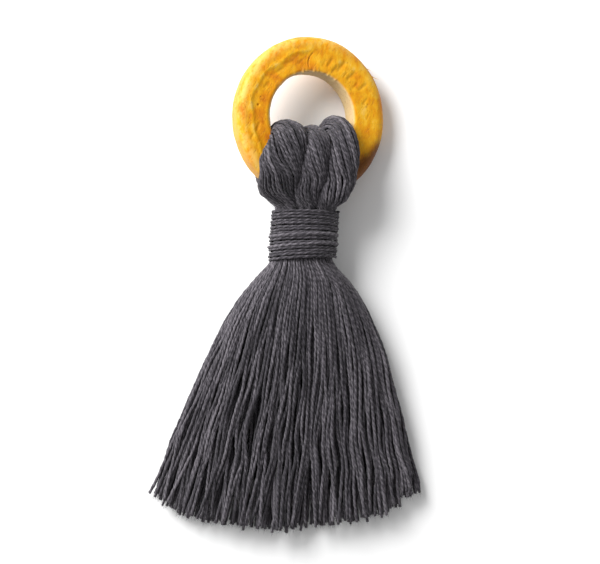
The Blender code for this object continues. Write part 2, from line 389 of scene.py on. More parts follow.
def build_skirt():
    tree = cad_tree("hank")
    skin = Skin(tree)
    paths, shares = surface_paths(skin, tree)
    low, high = FRONT_SHARES
    front = [path for path, share in zip(paths, shares) if low < share < high]
    back = [path for path, share in zip(paths, shares) if not low < share < high]
    inside = inner_paths(skin, tree)
    ends = np.array([(path[-1], unit(path[-1] - path[-3])) for path in paths + inside])
    pieces = [
        yarn_object("skirt_front", front, seed=31, sides=6, step=0.47 * MM, thin=neck_squeeze),
        yarn_object("skirt_back", back, seed=37, sides=6, step=0.8 * MM, thin=neck_squeeze),
        yarn_object("skirt_inside", inside, seed=41, sides=5, step=1.1 * MM, thin=neck_squeeze),
    ]
    return pieces, ends


# ---------------------------------------------------------------------------------------------
# The fold over the ring


# The path of the folded bundle, from inside the wrap's front to inside its back. Millimetres, with
# y in the frame and z above the ring's middle plane, which leans with the ring: the bundle's
# middle, half its thickness, and its left and right edges from the ring's centre.
Fold = namedtuple("Fold", "y z half left right")
FOLD = (
    Fold(y=12.5, z=2.0, half=2.7, left=-5.2, right=6.4),
    Fold(y=15.4, z=2.0, half=2.7, left=-5.9, right=7.1),
    Fold(y=17.3, z=3.7, half=2.6, left=-8.0, right=8.5),
    Fold(y=20.0, z=5.5, half=2.6, left=-10.2, right=8.9),
    Fold(y=24.0, z=6.15, half=2.8, left=-10.9, right=9.1),
    Fold(y=27.4, z=5.7, half=3.2, left=-9.9, right=9.3),
    Fold(y=29.9, z=4.2, half=4.1, left=-8.7, right=9.0),
    Fold(y=31.0, z=0.7, half=4.8, left=-7.8, right=8.3),
    Fold(y=29.8, z=-3.3, half=4.0, left=-7.8, right=8.0),
    Fold(y=26.8, z=-5.1, half=2.1, left=-8.4, right=7.6),
    Fold(y=24.0, z=-5.3, half=1.9, left=-8.6, right=7.4),
    Fold(y=20.0, z=-5.1, half=1.9, left=-8.0, right=7.2),
    Fold(y=17.3, z=-4.3, half=2.3, left=-7.0, right=7.4),
    Fold(y=15.4, z=-3.4, half=2.7, left=-5.9, right=7.1),
    Fold(y=12.5, z=-3.4, half=2.7, left=-5.2, right=6.4),
)
Lobe = namedtuple("Lobe", "name low high dip twist")
LOBES = (
    Lobe(name="left", low=0.0, high=0.395, dip=1.7, twist=0.185),
    Lobe(name="middle", low=0.395, high=0.68, dip=2.4, twist=0.165),
    Lobe(name="right", low=0.68, high=1.0, dip=-0.2, twist=0.145),
)
LOBE_OVERLAP = 1.2  # neighbours press into each other
LOBE_SQUARENESS = 0.9  # the power of a lobe's section, where 1 is an ellipse
FOLD_YARN = 0.93  # the fold's yarns are pulled tight, so they are thinner
OUTER_SHELLS = ((40, 1.0),)  # yarns in each layer of a lobe, and the layer's size
INNER_SHELLS = ((26, 0.83), (10, 0.5))


def spline(rows, count):
    """The rows' columns at count places along a smooth curve through them."""
    table = np.array(rows, dtype=float)
    knots = lengths_along(table[:, :2])
    slopes = np.gradient(table, knots, axis=0)
    places = np.linspace(0, knots[-1], count)
    i = np.clip(np.searchsorted(knots, places) - 1, 0, len(knots) - 2)
    span = (knots[i + 1] - knots[i])[:, None]
    t = ((places - knots[i])[:, None]) / span
    start, end = slopes[i] * span, slopes[i + 1] * span
    rise = table[i + 1] - table[i]
    values = table[i] + start * t + (3 * rise - 2 * start - end) * t**2 + (start + end - 2 * rise) * t**3
    return values, places


def ring_centre():
    low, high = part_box("ring")
    return np.array([(low[k] + high[k]) / 2 for k in range(3)])


def leaning(points, centre, lean):
    """Points given from centre along directions that lean to the right, in the frame's directions."""
    x, y, z = points.T
    across = x * np.cos(lean) + z * np.sin(lean)
    up = z * np.cos(lean) - x * np.sin(lean)
    return np.stack([across, y, up], axis=1) + centre


def turned_with_ring(points, centre):
    """Points whose x and z are given from the leaning ring's centre, in the frame.

    The lean fades out towards the neck, which stays level.
    """
    lean = RING_LEAN * smoothstep(points[:, 1], 16.5 * MM, 22 * MM)
    return leaning(points, centre * np.array([1, 0, 1]), lean)


def held_by_wrap(points):
    """Draws points in so that they pass under the wrap's turns, and leaves the fold above it as it is."""
    box_low, box_high = (np.array(corner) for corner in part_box("neck_wrap"))
    centre = (box_low + box_high) / 2
    room = (box_high - box_low) / 2 - 2.9 * YARN_RADIUS
    across = (points[:, 0] - centre[0]) / room[0]
    up = (points[:, 2] - centre[2]) / room[2]
    over = np.maximum(np.hypot(across, up), 1.0)
    hold = smoothstep(points[:, 1], box_high[1] + 2.2 * MM, box_high[1] - 0.4 * MM)
    pull = 1 + hold * (1 / over - 1)
    held = points.copy()
    for k in (0, 2):
        held[:, k] = centre[k] + (points[:, k] - centre[k]) * pull
    return held


def lobe_paths(lobe, shells, seed):
    rng = np.random.default_rng(seed)
    centre = ring_centre()
    values, places = spline(FOLD, 120)
    y, z, half, left, right = (values[:, k] * MM for k in range(5))
    places = places * MM
    tangent = unit(np.stack([np.gradient(y), np.gradient(z)], axis=1))
    outwards = np.stack([-tangent[:, 1], tangent[:, 0]], axis=1)
    crest = bell(places - places[-1] * 0.5, places[-1] * 0.14)
    middle = left + (right - left) * (lobe.low + lobe.high) / 2
    wide = (right - left) * (lobe.high - lobe.low) / 2 * LOBE_OVERLAP - YARN_RADIUS
    thick = half - YARN_RADIUS
    paths = []
    for count, size in shells:
        for j in range(count):
            turn = 2 * math.pi * (j + rng.uniform(-0.3, 0.3)) / count
            sway = waves(rng, places, (24 * MM, 11 * MM), (0.05, 0.025))
            angle = turn + lobe.twist / MM * places + sway
            grown = size * (1 + waves(rng, places, (19 * MM, 9 * MM), (0.025, 0.018)))
            across = np.sign(np.cos(angle)) * np.abs(np.cos(angle)) ** LOBE_SQUARENESS * grown
            up = np.sign(np.sin(angle)) * np.abs(np.sin(angle)) ** LOBE_SQUARENESS * grown
            rise = up * thick
            drop = lobe.dip * MM * crest * (0.5 + 0.5 * up)
            along = y + outwards[:, 0] * rise - drop
            points = np.stack([middle + across * wide, along, z + outwards[:, 1] * rise], axis=1)
            points = held_by_wrap(turned_with_ring(points, centre))
            points[:, 2] = np.maximum(points[:, 2], YARN_RADIUS)
            paths.append(smoothed(points))
    return paths


def pulled_tight(path):
    return np.full(len(path), FOLD_YARN)


def build_fold():
    pieces = []
    shape = {"sides": 6, "reference": (1, 0, 0), "thin": pulled_tight}
    inner = []
    for k, lobe in enumerate(LOBES):
        outer = lobe_paths(lobe, OUTER_SHELLS, 51 + k)
        inner += lobe_paths(lobe, INNER_SHELLS, 55 + k)
        pieces.append(yarn_object(f"fold_{lobe.name}", outer, seed=61 + k, step=0.48 * MM, **shape))
    pieces.append(yarn_object("fold_inside", inner, seed=65, step=0.9 * MM, **shape))
    return pieces


# ---------------------------------------------------------------------------------------------
# The wrap


WRAP_TURNS = 16
OVER_TURNS = 2
WRAP_SLANT = (0.95 * MM, 0.35 * MM)  # how far the turns tilt at the lower and the upper end
OVER_SLANT = (1.35 * MM, 1.1 * MM)
OVER_LIFT = 0.24 * MM  # how far the turns on top stand out from the others
OVER_START, OVER_END = 1.6 * MM, 5.6 * MM  # where they lie, from the wrap's lower edge
OVER_TUCK = 0.14  # how far their ends dive under
POINTS_PER_TURN = 90


def wound(low, high, turns, out, slant, seed, start=0.0):
    """A path round the neck from y = low to y = high. The turns tilt, their left side lower."""
    rng = np.random.default_rng(seed)
    box_low, box_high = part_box("neck_wrap")
    half = (np.array(box_high) - np.array(box_low)) / 2
    centre = (np.array(box_high) + np.array(box_low)) / 2
    count = turns * POINTS_PER_TURN
    angle = start + np.linspace(0, 2 * math.pi * turns, count)
    share = np.linspace(0, 1, count)
    uneven = waves(rng, angle, (5.1, 13.0, 2.3), (0.035 * MM, 0.05 * MM, 0.025 * MM))
    tilt = (slant[0] + (slant[1] - slant[0]) * share) * np.cos(angle)
    y = low + (high - low) * share + tilt + uneven * np.sin(math.pi * share) ** 0.3
    lift = out - YARN_RADIUS + waves(rng, angle, (4.0, 1.7), (0.07 * MM, 0.04 * MM))
    x = centre[0] + (half[0] + lift) * np.cos(angle)
    z = centre[2] + (half[2] + lift) * np.sin(angle)
    return np.stack([x, y, np.maximum(z, YARN_RADIUS)], axis=1)


def build_wrap():
    box_low, box_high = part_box("neck_wrap")
    low, high = box_low[1] + YARN_RADIUS, box_high[1] - YARN_RADIUS
    under = wound(low, high, WRAP_TURNS, 0.0, WRAP_SLANT, 71)
    over = wound(low + OVER_START, low + OVER_END, OVER_TURNS, OVER_LIFT, OVER_SLANT, 73, start=3.9)
    ends = np.linspace(0, 1, len(over))
    tuck = smoothstep(ends, 0.08, 0.0) + smoothstep(ends, 0.92, 1.0)
    centre = (np.array(box_low) + np.array(box_high)) / 2
    for k in (0, 2):
        over[:, k] -= (over[:, k] - centre[k]) * OVER_TUCK * tuck
    return yarn_object("neck_turns", [under, over], seed=75, step=0.38 * MM, reference=(0, 1, 0))


# ---------------------------------------------------------------------------------------------
# The ring


ROUND_STEPS = 660
OUTER_ROUNDING = 1.9 * MM
INNER_ROUNDING = 0.8 * MM

# Tool marks on the face. x and y are millimetres from the ring's centre, along the ring's own plane.
Mark = namedtuple("Mark", "x y angle length width depth")
CHISEL_MARKS = (
    Mark(x=1.9, y=11.6, angle=66, length=2.0, width=0.34, depth=0.06),
    Mark(x=3.1, y=11.8, angle=60, length=2.6, width=0.36, depth=0.10),
    Mark(x=4.3, y=10.6, angle=58, length=2.2, width=0.34, depth=0.12),
    Mark(x=5.6, y=11.2, angle=50, length=3.6, width=0.46, depth=0.15),
    Mark(x=6.6, y=9.5, angle=58, length=1.6, width=0.24, depth=0.08),
    Mark(x=8.0, y=9.5, angle=45, length=3.2, width=0.44, depth=0.12),
    Mark(x=9.0, y=7.5, angle=52, length=1.5, width=0.26, depth=0.07),
    Mark(x=10.7, y=7.4, angle=40, length=2.6, width=0.36, depth=0.09),
    Mark(x=11.4, y=4.4, angle=56, length=1.9, width=0.22, depth=0.07),
    Mark(x=12.3, y=1.2, angle=70, length=1.4, width=0.18, depth=0.06),
    Mark(x=-10.3, y=5.6, angle=52, length=2.2, width=0.34, depth=0.10),
    Mark(x=-9.2, y=7.9, angle=44, length=1.9, width=0.30, depth=0.08),
    Mark(x=-7.6, y=9.0, angle=36, length=2.6, width=0.34, depth=0.11),
    Mark(x=-5.6, y=10.9, angle=28, length=2.3, width=0.30, depth=0.09),
    Mark(x=-3.4, y=11.2, angle=40, length=1.8, width=0.26, depth=0.08),
    Mark(x=-11.6, y=-3.4, angle=74, length=2.4, width=0.30, depth=0.09),
    Mark(x=-12.8, y=-5.6, angle=66, length=1.7, width=0.26, depth=0.08),
)
CRACKS = (
    Mark(x=-1.05, y=13.1, angle=55, length=1.1, width=0.10, depth=0.17),
    Mark(x=-1.55, y=12.1, angle=74, length=1.3, width=0.10, depth=0.22),
    Mark(x=-1.62, y=10.9, angle=99, length=1.4, width=0.09, depth=0.20),
)
PITS = ((-11.9, 1.2, 0.18, 0.45), (-11.5, 2.9, 0.11, 0.22), (12.1, 3.9, 0.11, 0.2), (7.1, 12.2, 0.10, 0.18))
BURRS = ((118, 0.14), (106, 0.24), (101, 0.10), (91, 0.20), (86, 0.12), (72, 0.10), (60, 0.14), (141, 0.12))


# A rounded corner of the band's cut section: its middle, as a share of the way across the band, a
# length further out and a height, then where its arc starts and ends in degrees, its radius, how
# many points it has, and how many the straight side after it has.
Corner = namedtuple("Corner", "share inset height start end radius points side_points")
HALF_THICKNESS = RING_THICKNESS / 2
INNER, OUTER = INNER_ROUNDING, OUTER_ROUNDING
CORNERS = (
    Corner(0.0, INNER, HALF_THICKNESS - INNER, start=180, end=90, radius=INNER, points=7, side_points=26),
    Corner(1.0, -OUTER, HALF_THICKNESS - OUTER, start=90, end=0, radius=OUTER, points=11, side_points=3),
    Corner(1.0, -OUTER, OUTER - HALF_THICKNESS, start=0, end=-90, radius=OUTER, points=6, side_points=6),
    Corner(0.0, INNER, INNER - HALF_THICKNESS, start=-90, end=-180, radius=INNER, points=4, side_points=8),
)


def profile():
    """Points round the band's cut section: share, inset, height, and how far outwards and up it faces.

    A point's distance from the hole is a share of the band and a length, so that the roundings keep
    their size all the way round.
    """
    rows = []
    for corner, following in zip(CORNERS, CORNERS[1:] + CORNERS[:1]):
        for angle in np.radians(np.linspace(corner.start, corner.end, corner.points)):
            out, up = math.cos(angle), math.sin(angle)
            inset, height = corner.inset + corner.radius * out, corner.height + corner.radius * up
            rows.append((corner.share, inset, height, out, up))
        first = np.array(rows[-1])
        angle = math.radians(following.start)
        inset = following.inset + following.radius * math.cos(angle)
        height = following.height + following.radius * math.sin(angle)
        last = np.array((following.share, inset, height, *first[3:]))
        for part in np.linspace(0, 1, corner.side_points + 2)[1:-1]:
            rows.append(tuple(first + (last - first) * part))
    return np.array(rows)


def to_segment(x, y, mark):
    """Distance from each place to the mark's middle line, and how far along it, -1 to 1."""
    angle = math.radians(mark.angle)
    dx, dy = x - mark.x * MM, y - mark.y * MM
    along = dx * math.cos(angle) + dy * math.sin(angle)
    across = -dx * math.sin(angle) + dy * math.cos(angle)
    return across, along / (mark.length * MM / 2)


def noise_at(points, size, seed, octaves=3):
    """Smooth random heights, about -1 to 1, whose bumps are about size across."""
    shift = Vector((seed * 7.31, seed * 3.17, seed * 5.53))
    return np.array([noise.fractal(Vector(p) / size + shift, 1.0, 2.1, octaves) for p in points])


def ring_mesh():
    """The ring's points, round it and round its section, and what its material reads at each."""
    rows = profile()
    turns = np.linspace(0, 2 * math.pi, ROUND_STEPS, endpoint=False)
    cos, sin = np.cos(turns)[:, None], np.sin(turns)[:, None]
    inner = np.stack([cos * HOLE_WIDTH / 2, sin * HOLE_LENGTH / 2], axis=-1)
    outer = np.stack([cos * RING_WIDTH / 2, sin * RING_LENGTH / 2], axis=-1)
    way = unit(outer - inner)
    share, inset, height, out, up = (rows[:, k] for k in range(5))
    place = inner + (outer - inner) * share[None, :, None] + way * inset[None, :, None]
    shape = place.shape[:2]
    points = np.concatenate([place, np.broadcast_to(height[None, :, None], (*shape, 1))], axis=2)
    upwards = np.broadcast_to(up[None, :, None], (*shape, 1))
    normal = np.concatenate([way * out[None, :, None], upwards], axis=2)
    flat = points.reshape(-1, 3)
    x, y = points[..., 0], points[..., 1]
    # Where each point is: 0 at the hole to 1 at the outer edge, and the angle round the ring.
    across = share[None, :] + inset[None, :] / np.linalg.norm(outer - inner, axis=-1)
    everywhere = np.ones(shape)
    clock = np.degrees(turns)[:, None] * everywhere
    top = smoothstep(up, 0.3, 0.9) * everywhere
    # Broad unevenness of a ring cut by hand, then the finer roughness of the cut.
    broad = noise_at(flat, 7.0 * MM, 1, 2).reshape(shape)
    rough = noise_at(flat * np.array([1.0, 0.42, 1.0]), 0.9 * MM, 2, 3).reshape(shape)
    push = 0.11 * MM * broad + 0.035 * MM * rough
    # On the left the face is cut lower than the lip outside it.
    wobble = 0.05 * np.sin(np.radians(clock * 5)) + 0.03 * np.sin(np.radians(clock * 13 + 40))
    left = smoothstep(clock, 84, 104) * smoothstep(clock, 236, 214)
    hollow = left * smoothstep(across, 0.61 + wobble, 0.44 + wobble) * top
    ridge = left * bell(across - 0.585 - wobble, 0.06) * top
    push += 0.07 * MM * ridge - (0.17 * MM + 0.06 * MM * rough) * hollow
    # cut is how dark the material paints each mark, crack and pit, by its depth: painted shade in the
    # grooves.
    cut = np.zeros_like(across)
    for mark in CHISEL_MARKS + CRACKS:
        side, along = to_segment(x, y, mark)
        ends = smoothstep(np.abs(along), 1.15, 0.55)
        groove = bell(side, mark.width * MM) * ends * top
        lip = bell(side - 2.1 * mark.width * MM, 1.3 * mark.width * MM) * ends * top
        push += (0.28 * lip - groove) * mark.depth * MM
        cut = np.maximum(cut, groove * min(1.0, 0.12 + 2.2 * mark.depth))
    for pit_x, pit_y, radius, depth in PITS:
        hole = bell(np.hypot(x - pit_x * MM, y - pit_y * MM), radius * MM) * top
        push -= depth * MM * hole
        cut = np.maximum(cut, hole)
    # The hole's upper edge is ragged, with small burrs.
    edge = bell(across, 0.09) * smoothstep(up + 0.4, 0.2, 0.8)[None, :]
    ragged = 0.10 * MM * np.maximum(0, rough) * edge
    for angle, size in BURRS:
        ragged += size * MM * bell(clock - angle, 1.0 + 2.5 * size) * edge
    points = points + normal * push[..., None]
    points[..., :2] -= way * ragged[..., None]
    points[..., 2] += 0.35 * ragged
    facts = {
        "across": across,
        "clock": clock / 360,
        "cut": cut,
        "hollow": hollow,
        "ridge": ridge,
        "wall": smoothstep(-out, 0.55, 0.95) * everywhere,
        "outer": smoothstep(out, 0.80, 0.98) * everywhere,
        "burr": np.clip(ragged / (0.3 * MM), 0, 1),
    }
    return points, facts


# Slivers of wood. clock is degrees round the ring, and length and lift are millimetres.
Sliver = namedtuple("Sliver", "clock length lift on_hole")
SLIVERS = (
    Sliver(clock=38, length=1.7, lift=0.5, on_hole=False),
    Sliver(clock=44, length=1.0, lift=0.3, on_hole=False),
    Sliver(clock=96, length=0.6, lift=0.9, on_hole=True),
)
SLIVER_ROWS = 7
SLIVER_SIDES = 4


def splinters():
    """The slivers lifted from the ring's upper edges, as closed spikes."""
    vertices, faces = [], []
    up = np.array([0, 0, 1.0])
    for sliver in SLIVERS:
        turn = math.radians(sliver.clock)
        reach = (HOLE_WIDTH, HOLE_LENGTH) if sliver.on_hole else (RING_WIDTH, RING_LENGTH)
        foot = np.array([math.cos(turn) * reach[0] / 2, math.sin(turn) * reach[1] / 2, 2.0 * MM])
        outwards = np.array([math.cos(turn), math.sin(turn), 0]) * (-1 if sliver.on_hole else 1)
        along = np.array([math.sin(turn), -math.cos(turn), 0])
        foot = foot - outwards * 0.35 * MM
        length, lift = sliver.length * MM, sliver.lift * MM
        start = len(vertices)
        for part in np.linspace(0, 1, SLIVER_ROWS):
            curl = outwards * length * 0.55 * part**1.6 + up * lift * part**1.4
            middle = foot + along * length * part + curl
            thick = 0.13 * MM * (1 - part) ** 0.7 + 0.012 * MM
            for a in range(SLIVER_SIDES):
                angle = 2 * math.pi * (a + 0.5) / SLIVER_SIDES
                offset = outwards * math.cos(angle) + up * 0.6 * math.sin(angle)
                vertices.append(middle + thick * offset)
        for k in range(SLIVER_ROWS - 1):
            row = start + SLIVER_SIDES * k
            for a in range(SLIVER_SIDES):
                b = (a + 1) % SLIVER_SIDES
                faces.append((row + a, row + b, row + SLIVER_SIDES + b, row + SLIVER_SIDES + a))
        end = start + SLIVER_SIDES * (SLIVER_ROWS - 1)
        faces.append(tuple(start + a for a in reversed(range(SLIVER_SIDES))))
        faces.append(tuple(end + a for a in range(SLIVER_SIDES)))
    return np.array(vertices), faces


def build_ring():
    points, facts = ring_mesh()
    steps, rows = points.shape[:2]
    index = np.arange(steps * rows).reshape(steps, rows)
    right = np.roll(index, -1, axis=0)
    quads = np.stack([index, np.roll(index, -1, axis=1), np.roll(right, -1, axis=1), right], axis=-1)
    slivers, sliver_faces = splinters()
    base = steps * rows
    faces = quads.reshape(-1, 4).tolist() + [tuple(base + i for i in face) for face in sliver_faces]
    local = np.concatenate([points.reshape(-1, 3), slivers])
    placed = leaning(local, ring_centre(), RING_LEAN)
    placed[:, 2] = np.maximum(placed[:, 2], 0.0)
    mesh = bpy.data.meshes.new("wood_ring")
    mesh.from_pydata(placed, [], faces)
    for label, values in facts.items():
        store(mesh, label, np.append(values, np.full(len(slivers), 0.4 if label == "burr" else 0.0)))
    store(mesh, "grain", local / MM)
    mesh.shade_smooth()
    return link("wood_ring", mesh)


# ---------------------------------------------------------------------------------------------
# Loose fibres


SIDE_HAIRS = 5600
END_HAIRS = 6  # at each cut end
HAIR_ROWS, HAIR_SIDES = 4, 3


def side_hairs(pieces, rng):
    """Feet and directions of hairs that stand off the upper sides of the pieces."""
    feet, normals = [], []
    for piece in pieces:
        points = np.empty(len(piece.data.vertices) * 3)
        outwards = np.empty(len(piece.data.vertices) * 3)
        piece.data.vertices.foreach_get("co", points)
        piece.data.vertices.foreach_get("normal", outwards)
        feet.append(points.reshape(-1, 3))
        normals.append(outwards.reshape(-1, 3))
    feet, normals = np.concatenate(feet), np.concatenate(normals)
    chosen = rng.choice(np.flatnonzero(normals[:, 2] > -0.15), SIDE_HAIRS, replace=False)
    feet, normals = feet[chosen], normals[chosen]
    ways = unit(normals * rng.uniform(0.25, 0.9, (SIDE_HAIRS, 1)) + rng.normal(0, 0.62, (SIDE_HAIRS, 3)))
    hidden = np.einsum("ij,ij->i", ways, normals)[:, None] < 0.08
    return feet - 0.05 * MM * normals, np.where(hidden, unit(ways + 0.9 * normals), ways)


def end_hairs(ends, rng):
    """Feet and directions of the fibres that fray out of each cut end."""
    feet = np.repeat(ends[:, 0], END_HAIRS, axis=0)
    ways = np.repeat(ends[:, 1], END_HAIRS, axis=0)
    spread = rng.normal(0, 1, feet.shape)
    return feet + spread * YARN_RADIUS * 0.5 - ways * 0.1 * MM, unit(ways + 0.38 * spread)


def fuzz_object(name, pieces, ends, seed):
    """Short curved hairs on the pieces and at the cut ends, each a closed three-sided spike."""
    rng = np.random.default_rng(seed)
    on_sides, at_ends = side_hairs(pieces, rng), end_hairs(ends, rng)
    feet = np.concatenate([on_sides[0], at_ends[0]])
    ways = np.concatenate([on_sides[1], at_ends[1]])
    count = len(feet)
    bends = rng.normal(0, 0.7, (count, 3))
    lengths = rng.uniform(0.4, 1.3, count) * MM
    lengths[SIDE_HAIRS:] *= 0.7
    thick = rng.uniform(0.016, 0.026, count) * MM
    side = unit(np.cross(ways, rng.normal(0, 1, (count, 3))))
    up = np.cross(ways, side)
    vertices = np.empty((count, HAIR_ROWS, HAIR_SIDES, 3))
    for k in range(HAIR_ROWS):
        part = k / (HAIR_ROWS - 1)
        middle = feet + lengths[:, None] * (ways * part + bends * 0.5 * part**2)
        middle[:, 2] = np.maximum(middle[:, 2], 0.03 * MM)
        width = thick * (1 - 0.75 * part)
        for a in range(HAIR_SIDES):
            angle = 2 * math.pi * a / HAIR_SIDES
            vertices[:, k, a] = middle + width[:, None] * (math.cos(angle) * side + math.sin(angle) * up)
    index = np.arange(count * HAIR_ROWS * HAIR_SIDES).reshape(count, HAIR_ROWS, HAIR_SIDES)
    after = np.roll(index, -1, axis=2)
    quads = np.stack([index[:, :-1], after[:, :-1], after[:, 1:], index[:, 1:]], axis=-1).reshape(-1, 4)
    caps = np.concatenate([index[:, 0, ::-1], index[:, -1]])
    mesh = bpy.data.meshes.new(name)
    mesh.from_pydata(vertices.reshape(-1, 3), [], quads.tolist() + caps.tolist())
    mesh.shade_smooth()
    return link(name, mesh)


# ---------------------------------------------------------------------------------------------
# Materials


# The ramp's dark end is painted shade between the plies and the dark of the fibres; its light end also
# paints the crests' highlight.
YARN_DARK_AND_PLY_SHADE = (0.0085, 0.0074, 0.0098)  # between plies and fibres
YARN_BODY = (0.0455, 0.0408, 0.0486)
YARN_LIGHT = (0.172, 0.157, 0.176)
FUZZ = (0.115, 0.106, 0.117, 1)
# The wood's mottle, from its deep orange hollows to its pale lip: where each tone lies on the ramp.
WOOD_TONES = [
    (0.36, (0.47, 0.134, 0.003)),
    (0.46, (0.60, 0.220, 0.003)),
    (0.545, (0.66, 0.300, 0.005)),
    (0.62, (0.68, 0.365, 0.016)),
    (0.72, (0.69, 0.435, 0.095)),
]
# Pale cream painted on the lit left and top of the outer rounding: a painted highlight, in patches.
PALE_LIP_HIGHLIGHT = (0.60, 0.395, 0.128, 1)
OUTER_WOOD = (0.56, 0.27, 0.025, 1)
BORE_WOOD = (0.60, 0.47, 0.27, 1)
# Dark brown of the lower right edge: a toasted stain and painted shade together.
TOASTED_AND_SHADED = (0.105, 0.030, 0.006, 1)
REDDISH = (0.33, 0.10, 0.012, 1)
# Darker orange painted into chisel marks, cracks and pits by their depth: painted shade.
GROOVE_SHADE = (0.36, 0.125, 0.006, 1)
SCRATCH = (0.40, 0.135, 0.006, 1)
SPECK = (0.42, 0.16, 0.014, 1)
BURR = (0.85, 0.60, 0.20, 1)
FLOOR = (0.90, 0.90, 0.90, 1)


class Nodes:
    """A material's node tree, with short ways to add and join nodes."""

    def __init__(self, name):
        self.material = bpy.data.materials.new(name)
        self.material.use_nodes = True
        self.tree = self.material.node_tree
        self.shader = self.tree.nodes["Principled BSDF"]

    def add(self, kind, inputs=None, **settings):
        node = self.tree.nodes.new(f"ShaderNode{kind}")
        for key, value in settings.items():
            setattr(node, key, value)
        for key, value in (inputs or {}).items():
            self.put(node.inputs[key], value)
        return node

    def put(self, socket, value):
        if isinstance(value, bpy.types.NodeSocket):
            self.tree.links.new(value, socket)
        else:
            socket.default_value = value

    def shade(self, label, value):
        """Sets the shader's input of that name to a value, or joins it to a socket."""
        self.put(self.shader.inputs[label], value)

    def attribute(self, name):
        return self.add("Attribute", attribute_name=name).outputs["Fac"]

    def math(self, operation, first, second=0.0):
        return self.add("Math", {0: first, 1: second}, operation=operation).outputs[0]

    def times(self, first, second):
        return self.math("MULTIPLY", first, second)

    def plus(self, first, second):
        return self.math("ADD", first, second)

    def minus(self, first, second):
        return self.math("SUBTRACT", first, second)

    def noise(self, vector, scale, detail=3.0, roughness=0.55):
        values = {"Vector": vector, "Scale": scale, "Detail": detail, "Roughness": roughness}
        return self.add("TexNoise", values).outputs["Fac"]

    def ramp(self, factor, stops):
        node = self.add("ValToRGB", {"Fac": factor})
        ramp = node.color_ramp
        while len(ramp.elements) < len(stops):
            ramp.elements.new(1.0)
        for element, (place, colour) in zip(ramp.elements, stops):
            element.position = place
            element.color = (*colour, 1.0)
        return node.outputs["Color"]

    def mix(self, factor, first, second, blend="MIX"):
        node = self.add("Mix", data_type="RGBA", blend_type=blend)
        for socket, value in zip((node.inputs[0], node.inputs[6], node.inputs[7]), (factor, first, second)):
            self.put(socket, value)
        return node.outputs[2]

    def smooth(self, value, low, high):
        """0 before low and 1 past high; low may be the larger."""
        inputs = {"Value": value, "From Min": low, "From Max": high}
        return self.add("MapRange", inputs, interpolation_type="SMOOTHSTEP").outputs["Result"]

    def turned(self, vector, degrees):
        inputs = {"Vector": vector, "Rotation": (0, 0, math.radians(degrees))}
        return self.add("Mapping", inputs).outputs["Vector"]

    def scaled(self, vector, scale):
        return self.add("Mapping", {"Vector": vector, "Scale": scale}).outputs["Vector"]


def yarn_material(name):
    """Matt charcoal cotton: fine fibres wound at the yarn's twist, with painted shade between the plies."""
    m = Nodes(name)
    thread = m.add("Attribute", attribute_name="thread").outputs["Vector"]
    place = m.add("TexCoord").outputs["Object"]
    fibres = m.noise(m.scaled(thread, (2.3, 2.3, 0.42)), 1.0, detail=4.0, roughness=0.7)
    lint = m.noise(place, 1700.0, detail=3.0, roughness=0.7)
    tone = m.times(m.attribute("tone"), 0.060)
    # Ply crests are painted lighter and the gaps between plies darker: painted highlight and painted shade
    # of the twist.
    level = m.plus(m.times(m.attribute("ply"), 0.24), tone)
    level = m.plus(level, m.times(fibres, 0.62))
    level = m.plus(level, m.times(lint, 0.52))
    colour = m.ramp(level, [(0.42, YARN_DARK_AND_PLY_SHADE), (0.68, YARN_BODY), (0.99, YARN_LIGHT)])
    m.shade("Base Color", colour)
    m.shade("Roughness", 0.92)
    m.shade("Specular IOR Level", 0.28)
    m.shade("Sheen Weight", 0.12)
    m.shade("Sheen Roughness", 0.45)
    bump = m.add("Bump", {"Height": fibres, "Strength": 0.8, "Distance": 0.00016})
    m.shade("Normal", bump.outputs["Normal"])
    return m.material


def fuzz_material():
    m = Nodes("charcoal_fuzz")
    m.shade("Base Color", FUZZ)
    m.shade("Roughness", 0.9)
    m.shade("Specular IOR Level", 0.2)
    return m.material


